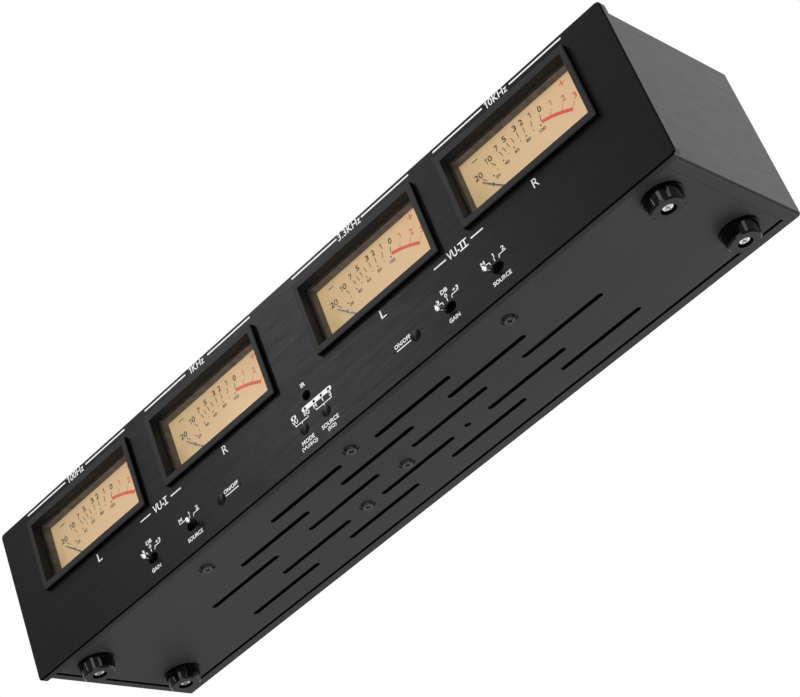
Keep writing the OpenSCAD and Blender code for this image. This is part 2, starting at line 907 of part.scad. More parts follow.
module ir_receiver() {
    body_w = 6;
    body_h = 7;
    body_y = panel_t + 3;
    dome_r = 2.3;
    color([0.12, 0.1, 0.14])
    at_panel(0, ir_z) {
        along_y(body_y, control_y - body_y)
            square([body_w, body_h], center = true);
        intersection() {
            translate([0, body_y, 0])
                sphere(r = dome_r);
            box([-body_w, body_y - body_w, -body_h], [2 * body_w, body_w, 2 * body_h]);
        }
    }
}

module leds() {
    color([0.85, 0.85, 0.8])
    for (x = led_xs)
        at_panel(x, led_z) {
            rod_y(led_r, panel_t + 2.2, control_y - panel_t - 2.2);
            translate([0, panel_t + 2.2, 0])
                sphere(r = led_r);
        }
}

module control_board() {
    half_w = toggle_outer_x + toggle_w / 2 + 4;
    tongue_half_w = 14.8;
    tongue_top = ir_z + 4.2;
    color([0.1, 0.35, 0.18])
    difference() {
        union() {
            box(
                [-half_w, control_y, panel_z0 + control_low],
                [2 * half_w, board_t, control_high - control_low]
            );
            box(
                [-tongue_half_w, control_y, panel_z0 + control_low],
                [2 * tongue_half_w, board_t, tongue_top - control_low]
            );
        }
        for (x = spacer_xs)
            at_panel(x, spacer_z)
                rod_y(screw_r, control_y - 1, board_t + 2);
    }
}

module main_board() {
    color([0.1, 0.35, 0.18])
    difference() {
        box(
            [-main_w / 2, main_front_y, main_z],
            [main_w, case_depth - sheet_t - slip - main_front_y, board_t]
        );
        for (p = concat(board_points, [spare_point]))
            translate([p[0], p[1], main_z - 1])
                cylinder(r = screw_r, h = board_t + 2);
    }
}

module board_components() {
    cap_r = 5;
    cap_h = 14;
    chip = [9, 7, 3];
    header = [14, 6, 9];
    regulator = [10, 4.5, 15];
    cap_x = 80;
    cap_y = 78;
    cap_pitch = 14;
    chip_x = -115;
    chip_y = 56;
    chip_pitch = 16;
    header_x = 130;
    header_y = 54;
    regulator_x = 60;
    color([0.2, 0.2, 0.22]) {
        for (n = [0:2])
            translate([cap_x + cap_pitch * n, cap_y, main_top])
                cylinder(r = cap_r, h = cap_h);
        for (n = [0:4])
            translate([chip_x + chip_pitch * n, chip_y, main_top])
                cube(chip);
        for (s = SIDES)
            translate([s * header_x - header[0] / 2, header_y, main_top])
                cube(header);
        translate([regulator_x, chip_y, main_top])
            cube(regulator);
    }
}

module rca_jacks() {
    socket_r = 1.65;
    ring_r = 3.4;
    neck_r = rca_r - 0.4;
    inner_y = case_depth - sheet_t;
    color([0.75, 0.75, 0.76])
    for (x = rca_xs)
        translate([x, 0, rca_z])
            difference() {
                union() {
                    rod_y(neck_r, inner_y - 0.1, sheet_t + rca_neck_l + 0.2);
                    rod_y(rca_r, case_depth + rca_neck_l, rca_l - rca_neck_l);
                    translate([0, 0, main_top - rca_z])
                        box(
                            [-rca_body_w / 2, inner_y - rca_body_d, 0],
                            [rca_body_w, rca_body_d, rca_body_h + 1]
                        );
                }
                rod_y(socket_r, inner_y, sheet_t + rca_l + 1);
                difference() {
                    rod_y(ring_r, case_depth + rca_l - 1.5, 3);
                    rod_y(socket_r + 0.6, case_depth + rca_l - 2, 4);
                }
            }
}

module dc_jack() {
    mouth_l = 9.5;
    body_d = 13;
    body_w = 9;
    body_h = 11;
    collar = 1.2;
    inner_y = case_depth - sheet_t;
    color([0.12, 0.12, 0.13])
    translate([dc_x, 0, dc_z]) {
        difference() {
            union() {
                translate([0, 0, main_top - dc_z])
                    box([-body_w / 2, inner_y - body_d, 0], [body_w, body_d, body_h]);
                rod_y(dc_bore_r + 1.4, inner_y - 0.1, sheet_t + collar + 0.1);
            }
            rod_y(dc_bore_r, case_depth + collar - mouth_l, mouth_l + 1);
        }
        rod_y(1, case_depth + collar - mouth_l - 0.1, mouth_l - 0.9);
    }
}

// ---------- the object ----------

module place() {
    translate([0, -mid_y, 0])
        children();
}

module at_meter(k) {
    at_panel(meter_xs[k - 1], meter_z)
        children();
}

module at_pivot(k) {
    at_panel(meter_xs[k - 1], pivot_z)
        children();
}

module foot_at(n) {
    translate([foot_points[n][0], foot_points[n][1], 0])
        foot();
}

place() {
    front_panel();
    top_cover();
    bottom_plate();
    rear_panel();
    panel_rail();
    side_bracket(-1);  // side_bracket_left
    side_bracket(1);  // side_bracket_right
    corner_blocks();
    foot_at(0);  // foot_front_left
    foot_at(1);  // foot_front_right
    foot_at(2);  // foot_rear_left
    foot_at(3);  // foot_rear_right
    foot_screws();
    case_screws();
    inner_screws();
    hex_spacers();
    for (k = CHANNELS) {
        at_meter(k) bezel();
        at_meter(k) lens();
        at_meter(k) meter_housing();
        at_meter(k) dial();
        at_pivot(k) movement();
        at_pivot(k) pointer();
    }
    at_panel(-toggle_outer_x, toggle_z) toggle_body();  // gain_switch_1
    at_panel(-toggle_inner_x, toggle_z) toggle_body();  // source_switch_1
    at_panel(toggle_inner_x, toggle_z) toggle_body();  // gain_switch_2
    at_panel(toggle_outer_x, toggle_z) toggle_body();  // source_switch_2
    at_panel(-toggle_outer_x, toggle_z) lever(0);  // gain_lever_1
    at_panel(-toggle_inner_x, toggle_z) lever(lever_throw);  // source_lever_1
    at_panel(toggle_inner_x, toggle_z) lever(-lever_throw);  // gain_lever_2
    at_panel(toggle_outer_x, toggle_z) lever(-lever_throw);  // source_lever_2
    at_panel(-power_x, button_z) button();  // power_button_1
    at_panel(power_x, button_z) button();  // power_button_2
    at_panel(-mode_x, button_z) button();  // mode_button
    at_panel(mode_x, button_z) button();  // source_button
    tact_switches();
    ir_receiver();
    leds();
    control_board();
    main_board();
    board_components();
    rca_jacks();
    dc_jack();
}
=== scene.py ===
"""Looks of the four-meter level display: finishes, printed lettering, dial scales, light and camera.

Printing is laid out in millimetres, which become metres where its mesh is made.
Its x starts at the middle of the front panel or of a dial, and its z at the panel's lower edge.
"""
import math

import bmesh
import bpy
from mathutils import Matrix, Quaternion, Vector


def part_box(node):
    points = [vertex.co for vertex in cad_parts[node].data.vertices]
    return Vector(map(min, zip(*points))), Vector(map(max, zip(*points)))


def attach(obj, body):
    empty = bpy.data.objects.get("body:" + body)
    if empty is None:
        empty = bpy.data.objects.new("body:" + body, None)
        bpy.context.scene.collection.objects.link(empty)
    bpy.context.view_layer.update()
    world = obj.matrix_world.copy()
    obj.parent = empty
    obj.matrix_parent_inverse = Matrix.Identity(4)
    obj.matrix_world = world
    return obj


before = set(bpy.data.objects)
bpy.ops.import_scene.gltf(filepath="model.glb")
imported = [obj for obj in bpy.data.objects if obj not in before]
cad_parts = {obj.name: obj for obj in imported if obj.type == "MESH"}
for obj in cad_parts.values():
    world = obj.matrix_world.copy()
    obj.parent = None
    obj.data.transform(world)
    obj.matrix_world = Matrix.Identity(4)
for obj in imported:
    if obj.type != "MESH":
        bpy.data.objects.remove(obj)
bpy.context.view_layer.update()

MM = 0.001
X_AXIS, Y_AXIS, Z_AXIS = range(3)
METERS = (1, 2, 3, 4)
SIDES = (-1, 1)

# Places on the object that tell one group of faces from another
PANEL_LOW, PANEL_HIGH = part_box("front_panel")
BOTTOM_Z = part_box("bottom_plate")[0].z
COVER_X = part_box("top_cover")[1].x
REAR_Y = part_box("rear_panel")[1].y
SHEET = 1.2 * MM
EDGE_REACH = 1.5 * MM  # the bevel and the sides of the front panel lie within it
LENS_SHEET = 1.55 * MM  # the front of a lens, with a little to spare
JACK_XS = [x * MM for x in (-60, -45, 30, 45)]
JACK_END_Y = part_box("rca_jacks")[1].y
INSERT_DEPTH = 1.5 * MM  # from the jack's end to its moulded ring
INSERT_REACH = 0.2 * MM
INLET_X = 118 * MM
INLET_Z = BOTTOM_Z + 14.8 * MM
INLET_DEPTH = 9 * MM
INLET_PIN_REACH = 1.1 * MM


# ---------------------------------------------------------------- materials
DIAL_PAINTED_GLOW = 0.33  # painted glow: emission in the dial cards and their red ink, standing in for the meters' backlight and for lamp light that the bezel walls shade off the dials
# painted light: the dial cream goes from this shaded colour at the left to this lit one at the right
CREAM_PAINTED_SHADE = (0.600, 0.432, 0.232)
CREAM_PAINTED_LIGHT = (0.735, 0.505, 0.300)


class Look:
    """A Principled material, with helpers for detail that varies over the surface."""

    def __init__(self, name, base, rough, metal=0.0, spec=0.5, coat=0.0):
        self.mat = bpy.data.materials.new(name)
        self.mat.use_nodes = True
        self.tree = self.mat.node_tree
        self.tree.nodes.clear()
        self.out = self.add("ShaderNodeOutputMaterial")
        self.bsdf = self.add("ShaderNodeBsdfPrincipled")
        self.link(self.bsdf.outputs[0], self.out.inputs["Surface"])
        self.set("Base Color", (*base, 1))
        self.set("Roughness", rough)
        self.set("Metallic", metal)
        self.set("Specular IOR Level", spec)
        self.set("Coat Weight", coat)
        self.set("Coat Roughness", 0.1)

    def add(self, kind, **settings):
        node = self.tree.nodes.new(kind)
        for key, value in settings.items():
            setattr(node, key, value)
        return node

    def link(self, source, target):
        self.tree.links.new(source, target)

    def set(self, socket, value):
        self.bsdf.inputs[socket].default_value = value

    def coords(self, scale=(1, 1, 1), offset=(0, 0, 0)):
        """Object coordinates, in metres, times scale for each axis."""
        place = self.add("ShaderNodeTexCoord")
        mapping = self.add("ShaderNodeMapping")
        mapping.inputs["Scale"].default_value = scale
        mapping.inputs["Location"].default_value = offset
        self.link(place.outputs["Object"], mapping.inputs["Vector"])
        return mapping.outputs["Vector"]

    def noise(self, scale, detail=3, rough=0.55, offset=(0, 0, 0)):
        """Noise with about scale grains to the metre, one number for all axes or one for each."""
        if isinstance(scale, (int, float)):
            scale = (scale,) * 3
        node = self.add("ShaderNodeTexNoise")
        node.inputs["Scale"].default_value = 1
        node.inputs["Detail"].default_value = detail
        node.inputs["Roughness"].default_value = rough
        self.link(self.coords(scale, offset), node.inputs["Vector"])
        return node.outputs["Fac"]

    def spread(self, source, low, high, start=0.3, end=0.7):
        """A value that goes from low to high as source goes from start to end."""
        node = self.add("ShaderNodeMapRange")
        for key, value in (("From Min", start), ("From Max", end), ("To Min", low), ("To Max", high)):
            node.inputs[key].default_value = value
        self.link(source, node.inputs["Value"])
        return node.outputs["Result"]

    def math(self, operation, a, b):
        node = self.add("ShaderNodeMath", operation=operation)
        for socket, value in zip(node.inputs, (a, b)):
            if isinstance(value, (int, float)):
                socket.default_value = value
            else:
                self.link(value, socket)
        return node.outputs[0]

    def blend(self, a, share_a, b, share_b):
        """The sum of two values, each times its share."""
        return self.math("ADD", self.math("MULTIPLY", a, share_a), self.math("MULTIPLY", b, share_b))

    def colour(self, source, low, high, start=0.3, end=0.7):
        """A colour that goes from low to high as source goes from start to end."""
        node = self.add("ShaderNodeMix", data_type="RGBA")
        self.link(self.spread(source, 0, 1, start, end), node.inputs[0])
        node.inputs[6].default_value = (*low, 1)
        node.inputs[7].default_value = (*high, 1)
        return node.outputs[2]

    def paint(self, source, low, high, start=0.3, end=0.7):
        self.link(self.colour(source, low, high, start, end), self.bsdf.inputs["Base Color"])

    def roughen(self, source, low, high, start=0.3, end=0.7):
        self.link(self.spread(source, low, high, start, end), self.bsdf.inputs["Roughness"])

    def glow(self, source, low, high, strength, start=0.3, end=0.7):
        self.link(self.colour(source, low, high, start, end), self.bsdf.inputs["Emission Color"])
        self.set("Emission Strength", strength)

    def bump(self, source, strength, depth):
        node = self.add("ShaderNodeBump")
        node.inputs["Strength"].default_value = strength
        node.inputs["Distance"].default_value = depth
        self.link(source, node.inputs["Height"])
        self.link(node.outputs["Normal"], self.bsdf.inputs["Normal"])

    def mix_surface(self, factor, first, second):
        """Makes the surface go from the first shader to the second as factor goes from 0 to 1."""
        mix = self.add("ShaderNodeMixShader")
        self.link(factor, mix.inputs[0])
        self.link(first.outputs[0], mix.inputs[1])
        self.link(second.outputs[0], mix.inputs[2])
        self.link(mix.outputs[0], self.out.inputs["Surface"])


def grey(value):
    return (value, value, value)


def scaled(colour, factor):
    return tuple(c * factor for c in colour)


def shades(base, contrast, tint):
    """The darkest and the lightest colour of a grey finish with a slight tint."""
    return [tuple(base * (1 + way * contrast) * t for t in tint) for way in (-1, 1)]


def brushed(name, base, rough, along, contrast, spec=0.5, metal=0.0, tint=(1, 1, 1)):
    """Sheet or plate with a hairline brush along one axis: fine lines, and broader faint bands."""
    look = Look(name, grey(base), rough, metal, spec)
    line_scale, band_scale = [1300.0] * 3, [420.0] * 3
    line_scale[along], band_scale[along] = 70.0, 9.0
    lines = look.noise(line_scale, 3, 0.6)
    bands = look.noise(band_scale, 2, 0.5, (3, 5, 7))
    both = look.blend(lines, 0.75, bands, 0.25)
    look.paint(both, *shades(base, contrast, tint), 0.35, 0.65)
    look.roughen(both, rough + 0.04, rough - 0.04, 0.35, 0.65)
    look.bump(lines, 0.08, 0.04 * MM)
    return look


def powder(name, base, rough, spec, grain=900.0, tint=(1, 1, 1)):
    """Satin paint: a fine orange-peel grain and a slow drift of shade."""
    look = Look(name, grey(base), rough, 0.0, spec)
    peel = look.noise(grain, 2)
    drift = look.noise(9.0, 2, 0.5, (11, 2, 5))
    both = look.blend(peel, 0.5, drift, 0.5)
    look.paint(both, *shades(base, 0.14, tint), 0.4, 0.6)
    look.roughen(peel, rough - 0.04, rough + 0.06)
    look.bump(peel, 0.1, 0.05 * MM)
    return look


def metal(name, colour, rough, grain=700.0, spread=0.12):
    """Plated or plain metal with a slight cloudiness."""
    look = Look(name, colour, rough, 1.0)
    cloud = look.noise(grain)
    look.paint(cloud, scaled(colour, 1 - spread), colour)
    look.roughen(cloud, rough, rough + 0.1)
    return look


def moulded(name, colour, rough, spec=0.5, grain=1400.0, coat=0.0):
    """Injection-moulded plastic with a fine texture."""
    look = Look(name, colour, rough, 0.0, spec, coat)
    fine = look.noise(grain, 2)
    look.paint(fine, scaled(colour, 0.88), scaled(colour, 1.1))
    look.roughen(fine, rough - 0.03, rough + 0.05)
    look.bump(fine, 0.08, 0.03 * MM)
    return look


def dial_paper(k):
    """Printed card: warm cream with faint fibres, made lighter to the right by painted light, and given a
    painted glow in the same colours.
    """
    low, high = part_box(f"dial_{k}")
    look = Look(f"dial_paper_{k}", (0.66, 0.47, 0.27), 0.6, 0.0, 0.2)
    place = look.add("ShaderNodeSeparateXYZ")
    look.link(look.coords(), place.inputs[0])
    across = look.spread(place.outputs["X"], 0, 1, low.x, high.x)
    fibres = look.noise(1800)
    shade = look.math("ADD", across, look.math("MULTIPLY", fibres, 0.16))
    # painted light: lighter to the right; the same painted gradient also glows
    look.paint(shade, CREAM_PAINTED_SHADE, CREAM_PAINTED_LIGHT, 0.05, 1.1)
    look.glow(shade, CREAM_PAINTED_SHADE, CREAM_PAINTED_LIGHT, DIAL_PAINTED_GLOW, 0.05, 1.1)
    look.roughen(fibres, 0.52, 0.68)
    look.bump(fibres, 0.05, 0.03 * MM)
    return look


def clear_lens():
    """Clear moulded cover. Lamps and bounced light go straight through it."""
    look = Look("lens_clear", (0.97, 0.96, 0.94), 0.03, 0.0, 0.03)
    look.set("Transmission Weight", 1.0)
    look.set("IOR", 1.08)
    haze = look.noise(60)
    look.roughen(haze, 0.0, 0.035)
    path = look.add("ShaderNodeLightPath")
    passing = look.math("MAXIMUM", path.outputs["Is Shadow Ray"], path.outputs["Is Diffuse Ray"])
    look.mix_surface(passing, look.bsdf, look.add("ShaderNodeBsdfTransparent"))
    return look


def opaque_wall_painted_reflection():
    """The moulded side walls of the lens, seen edge-on, drawn opaque: a dull grey-brown painted
    reflection that stands in for the clear plastic with the cream dial reflected in it.
    """
    look = Look("lens_wall_painted_reflection", (0.11, 0.10, 0.092), 0.35, 0.0, 0.2)
    cloud = look.noise((300, 90, 300))
    look.paint(cloud, (0.070, 0.063, 0.058), (0.155, 0.142, 0.130))
    look.roughen(cloud, 0.3, 0.42)
    return look


def ink(name, colour, rough, spread, glow=0.0):
    """Screen-printing ink, with a slightly uneven coat. With a glow, ink on a dial card gets the card's
    painted glow.
    """
    look = Look(name, colour, rough, 0.0, 0.3)
    patch = look.noise(1200, 2)
    thin = scaled(colour, 1 - spread)
    look.paint(patch, thin, colour)
    if glow:
        look.glow(patch, thin, colour, glow)
    return look


# ---------------------------------------------------------------- printing
PRINT_T = 0.03  # ink that stands on a face
PRINT_SINK = 0.01  # ink below the face, so no gap shows
SHARPEST_MITRE = 0.3  # least cosine between a line and the mitre at its corner
ARC_STEPS = 24
DISC_STEPS = 16
FIGURE_FLAG = 0.3  # reach of the flag of a figure 1, as a share of its height
FIGURE_GAP = 0.22  # space after a figure 1, as a share of its height


def round_points(x, z, radius, angles):
    return [(x + radius * math.cos(a), z + radius * math.sin(a)) for a in angles]


def full_turn(steps):
    return [2 * math.pi * i / steps for i in range(steps)]


def half_turn(start):
    return [start + math.pi * i / ARC_STEPS for i in range(ARC_STEPS + 1)]


class Printing:
    """Printing on a face that looks towards -Y, gathered into one closed mesh."""

    def __init__(self, x0, z0, face_y):
        self.x0, self.z0, self.face_y = x0, z0, face_y
        self.points, self.faces = [], []

    def _take(self, flat, faces):
        """Adds a solid whose points are (x, z, height), height 0 at the back and 1 at the front."""
        start = len(self.points)
        depth = PRINT_T + PRINT_SINK
        for x, z, height in flat:
            y = self.face_y + (PRINT_SINK - depth * height) * MM
            self.points.append((self.x0 + x * MM, y, self.z0 + z * MM))
        self.faces += [tuple(start + i for i in face) for face in faces]

    def area(self, outline):
        """A flat shape with the outline given, as (x, z) points."""
        n = len(outline)
        flat = [(x, z, 0) for x, z in outline] + [(x, z, 1) for x, z in outline]
        sides = [(i, (i + 1) % n, n + (i + 1) % n, n + i) for i in range(n)]
        self._take(flat, [tuple(range(n - 1, -1, -1)), tuple(range(n, 2 * n))] + sides)

    def line(self, points, width):
        """A line of even width through the points, mitred at its corners."""
        half = width / 2
        left, right = [], []
        for i, (x, z) in enumerate(points):
            before = Vector(points[i]) - Vector(points[i - 1]) if i else None
            after = Vector(points[i + 1]) - Vector(points[i]) if i + 1 < len(points) else None
            first = (before or after).normalized()
            second = (after or before).normalized()
            middle = first + second
            middle.normalize()
            across = Vector((-middle.y, middle.x)) * half / max(SHARPEST_MITRE, middle.dot(first))
            left.append((x + across.x, z + across.y))
            right.append((x - across.x, z - across.y))
        self.area(right + left[::-1])

    def arc(self, centre_z, radius, width, dx_from, dx_to):
        """A band round the point (0, centre_z), from dx_from to dx_to at its middle radius."""
        start, end = (math.asin(dx / radius) for dx in (dx_from, dx_to))
        angles = [start + (end - start) * i / ARC_STEPS for i in range(ARC_STEPS + 1)]
        inner, outer = radius - width / 2, radius + width / 2
        lower = [(inner * math.sin(a), centre_z + inner * math.cos(a)) for a in angles]
        upper = [(outer * math.sin(a), centre_z + outer * math.cos(a)) for a in angles]
        self.area(lower + upper[::-1])

    def disc(self, x, z, radius):
        self.area(round_points(x, z, radius, full_turn(DISC_STEPS)))

    def shape(self, curve, fit):
        """Adds the filled flat curve. fit(x, y, box) turns a curve point into (x, z)."""
        curve.dimensions = "2D"
        curve.fill_mode = "BOTH"
        curve.extrude = 0.5
        holder = bpy.data.objects.new("outline", curve)
        bpy.context.scene.collection.objects.link(holder)
        graph = bpy.context.evaluated_depsgraph_get()
        mesh = bpy.data.meshes.new_from_object(holder.evaluated_get(graph))
        box = [[end(v.co[axis] for v in mesh.vertices) for end in (min, max)] for axis in (0, 1)]
        flat = [(*fit(v.co.x, v.co.y, box), 1 if v.co.z > 0 else 0) for v in mesh.vertices]
        self._take(flat, [tuple(p.vertices) for p in mesh.polygons])
        bpy.data.meshes.remove(mesh)
        bpy.data.objects.remove(holder)
        bpy.data.curves.remove(curve)

    def text(self, words, x, z, width, height, bold=0.0, slant=0.0):
        """Words centred on (x, z), stretched to width and height before the slant."""
        curve = bpy.data.curves.new("words", "FONT")
        curve.body = words
        curve.size = 1
        curve.offset = bold
        curve.resolution_u = 3

        def fit(px, py, box):
            (x_low, x_high), (y_low, y_high) = box
            across = ((px - x_low) / (x_high - x_low) - 0.5) * width
            up = ((py - y_low) / (y_high - y_low) - 0.5) * height
            return x + (across + up * slant), z + up

        self.shape(curve, fit)

    def one(self, x, z, height, stroke, slant=0.0):
        """A figure 1 without a foot, its stem's middle at x."""
        s = stroke / 2
        flag = FIGURE_FLAG * height
        tip_z = 0.82 * height
        outline = [(-s, 0), (s, 0), (s, height), (-0.4 * s, height), (-flag, tip_z),
                   (-flag, tip_z - 0.9 * stroke), (-s, 0.8 * height)]
        self.area([(x + px + (pz - height / 2) * slant, z + pz - height / 2) for px, pz in outline])

    def figures(self, words, x, z, width, height, stroke, bold=0.0, slant=0.0):
        """Words centred on (x, z). A leading 1 is drawn by one(), the rest by text()."""
        if not words.startswith("1"):
            self.text(words, x, z, width, height, bold, slant)
            return
        flag = FIGURE_FLAG * height
        if len(words) == 1:
            self.one(x + flag / 2, z, height, stroke, slant)
            return
        rest = width - flag - stroke / 2 - FIGURE_GAP * height
        self.one(x - width / 2 + flag, z, height, stroke, slant)
        self.text(words[1:], x + (width - rest) / 2, z, rest, height, bold, slant)

    def pill(self, x_low, x_high, z_low, z_high, holes):
        """A bar with round ends, open at each (x, z, radius) of holes."""
        curve = bpy.data.curves.new("pill", "CURVE")
        radius = (z_high - z_low) / 2
        middle = (z_high + z_low) / 2
        left = round_points(x_low + radius, middle, radius, half_turn(math.pi / 2))
        right = round_points(x_high - radius, middle, radius, half_turn(-math.pi / 2))
        loops = [left + right] + [round_points(*hole, full_turn(ARC_STEPS)) for hole in holes]
        for loop in loops:
            spline = curve.splines.new("POLY")
            spline.points.add(len(loop) - 1)
            spline.use_cyclic_u = True
            for point, (px, pz) in zip(spline.points, loop):
                point.co = (px, pz, 0, 1)
        self.shape(curve, lambda px, py, box: (px, py))

    def piece(self, name, look, body):
        """Makes the printing one object that rides on body."""
        mesh = bpy.data.meshes.new(name)
        mesh.from_pydata(self.points, [], self.faces)
        work = bmesh.new()
        work.from_mesh(mesh)
        bmesh.ops.remove_doubles(work, verts=work.verts, dist=1e-7)
        bmesh.ops.recalc_face_normals(work, faces=work.faces)
        work.to_mesh(mesh)
        work.free()
        mesh.materials.append(look.mat)
        made = bpy.data.objects.new(name, mesh)
        bpy.context.scene.collection.objects.link(made)
        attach(made, body)


# ---------------------------------------------------------------- finishes of the CAD nodes
def dress(look, *nodes):
    for name in nodes:
        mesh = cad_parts[name].data
        mesh.materials.clear()
        mesh.materials.append(look.mat)


def dress_faces(look, picks, *nodes):
    """Gives the faces that picks(face) chooses another look."""
    for name in nodes:
        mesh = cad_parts[name].data
        mesh.materials.append(look.mat)
        for face in mesh.polygons:
            if picks(face):
                face.material_index = len(mesh.materials) - 1


def each(stem):
    return [f"{stem}_{k}" for k in METERS]


def is_outer_edge(face):
    """A face on the outer edge of the front panel."""
    spot = face.center
    sides = (spot.x - PANEL_LOW.x, PANEL_HIGH.x - spot.x, spot.z - PANEL_LOW.z, PANEL_HIGH.z - spot.z)
    return min(sides) < EDGE_REACH


def is_lower_bevel(face):
    return 0.3 < abs(face.normal.y) < 0.9 and face.normal.z < -0.3


def is_inner_wall(face, middle):
    """A side of a window that looks towards its middle."""
    return abs(face.normal.y) < 0.3 and face.normal.dot(middle - face.center) > 0


def is_seam_wall(face):
    """An upright edge in the seams round the bottom plate."""
    spot = face.center
    low = spot.z < BOTTOM_Z + 1.5 * SHEET
    inner = abs(spot.x) < COVER_X - 2 * SHEET and spot.y < REAR_Y - 2 * SHEET
    return low and inner and abs(face.normal.z) < 0.5


def is_insert(face, remainder):
    """The front of the moulded ring of every second phono jack, counted from the first or the second."""
    spot = face.center
    nearest = min(JACK_XS, key=lambda x: abs(x - spot.x))
    ring = face.normal.y > 0.9 and abs(spot.y - JACK_END_Y + INSERT_DEPTH) < INSERT_REACH
    return ring and JACK_XS.index(nearest) % 2 == remainder


def is_inlet_pin(face):
    """The contact in the middle of the power inlet."""
    spot = face.center
    near = math.hypot(spot.x - INLET_X, spot.z - INLET_Z) < INLET_PIN_REACH
    return near and spot.y > REAR_Y - INLET_DEPTH


# Looks that several sub-parts share
cover_look = brushed("cover_brushed", 0.036, 0.40, Y_AXIS, 0.14, 0.4, tint=(1, 1, 1.12))
# painted shade: near-black put on the panel's lower bevel, the bezels' sides and the upright walls of
# slots and seams, where shade falls
painted_shade_look = moulded("painted_shade_black", grey(0.0025), 0.6, 0.0)


def dress_panel():
    """Brushed along its width. Its edges are finished like the cover, except the lower one. The lower
    bevel gets near-black painted shade.
    """
    panel_look = brushed("panel_anodised", 0.0055, 0.33, X_AXIS, 0.6, 0.045, tint=(1, 1, 1.2))
    lower_edge_look = powder("lower_edge", 0.020, 0.5, 0.06, tint=(1, 1, 1.05))
    dress(panel_look, "front_panel")
    # painted shade: the lower bevel is near-black
    dress_faces(painted_shade_look, is_lower_bevel, "front_panel")
    dress_faces(cover_look, lambda face: abs(face.normal.y) < 0.3 and is_outer_edge(face), "front_panel")
    dress_faces(lower_edge_look, lambda face: face.normal.z < -0.9 and is_outer_edge(face), "front_panel")


def dress_sheets():
    """Cover, bottom and rear. Faces of the cover that look down are painted like the bottom. Upright
    walls of the bottom's slots and edges and of the seams get near-black painted shade.
    """
    bottom_look = powder("bottom_paint", 0.034, 0.5, 0.08, tint=(1, 0.99, 1.05))
    dress(cover_look, "top_cover")
    dress_faces(bottom_look, lambda face: face.normal.z < -0.25, "top_cover")
    dress(bottom_look, "bottom_plate", "rear_panel")
    # painted shade: upright walls of the bottom's slots and edges, and of the seams in cover and rear,
    # are near-black
    dress_faces(painted_shade_look, lambda face: abs(face.normal.z) < 0.5, "bottom_plate")
    dress_faces(painted_shade_look, is_seam_wall, "top_cover", "rear_panel")


def dress_frame_and_screws():
    dress(brushed("rail_aluminium", 0.55, 0.35, X_AXIS, 0.15, metal=1.0), "panel_rail")
    dress(brushed("bracket_steel", 0.45, 0.38, Z_AXIS, 0.15, metal=1.0),
          "side_bracket_left", "side_bracket_right", "corner_blocks")
    dress(metal("zinc_plate", (0.62, 0.63, 0.61), 0.2), "foot_screws", "inner_screws")
    dress(metal("black_oxide", grey(0.05), 0.3), "case_screws")
    dress(metal("brass", (0.78, 0.56, 0.27), 0.25), "hex_spacers")


def dress_feet():
    """Glossy round the sides, satin on the ring that stands on the floor."""
    feet = ("foot_front_left", "foot_front_right", "foot_rear_left", "foot_rear_right")
    dress(moulded("foot_gloss", grey(0.003), 0.07, 0.1, 500), *feet)
    dress_faces(moulded("foot_face", grey(0.016), 0.45, 0.1, 900),
                lambda face: face.normal.z < -0.9 and face.center.z < MM, *feet)


def dress_bezels():
    dress(moulded("bezel_satin", grey(0.014), 0.5, 0.06), *each("bezel"))
    wall_look = moulded("bezel_wall", grey(0.014), 0.45, 0.10)
    for name in each("bezel"):
        low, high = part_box(name)
        middle = (low + high) / 2
        # painted shade: the sides of the bezel are near-black; the inner walls then get their own satin
        dress_faces(painted_shade_look, lambda face: abs(face.normal.y) < 0.3, name)
        dress_faces(wall_look, lambda face: is_inner_wall(face, middle), name)


def dress_lenses():
    """Clear at the front; behind it, opaque walls with a painted reflection of the dial."""
    lens_look, wall_look = clear_lens(), opaque_wall_painted_reflection()
    for name in each("lens"):
        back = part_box(name)[0].y + LENS_SHEET
        dress(lens_look, name)
        # painted reflection: the walls behind the front sheet are opaque grey-brown
        dress_faces(wall_look, lambda face: face.center.y > back and abs(face.normal.y) < 0.5, name)


def dress_movements():
    dress(moulded("housing_plastic", grey(0.02), 0.5, 0.35), *each("meter_housing"))
    dress(metal("movement_steel", (0.42, 0.41, 0.4), 0.35), *each("movement"))
    dress(moulded("pointer_black", grey(0.01), 0.35, 0.4), *each("pointer"))
    for k in METERS:
        dress(dial_paper(k), f"dial_{k}")


def dress_controls():
    dress(moulded("switch_case", (0.02, 0.03, 0.09), 0.4),
          "gain_switch_1", "source_switch_1", "gain_switch_2", "source_switch_2", "tact_switches")
    dress(metal("lever_chrome", (0.60, 0.60, 0.62), 0.10, 400, 0.05),
          "gain_lever_1", "source_lever_1", "gain_lever_2", "source_lever_2")
    dress(moulded("button_black", grey(0.003), 0.27, 0.035),
          "power_button_1", "power_button_2", "mode_button", "source_button")
    dress(moulded("ir_dark_lens", (0.010, 0.006, 0.008), 0.05, 0.6, 300, 0.6), "ir_receiver")
    dress(moulded("led_clear_dark", (0.03, 0.03, 0.032), 0.12, 0.5, 300), "leds")


def dress_boards():
    dress(powder("board_mask", 0.004, 0.45, 0.25, 1500), "control_board", "main_board")
    dress(moulded("component_black", grey(0.006), 0.5, 0.3), "board_components")


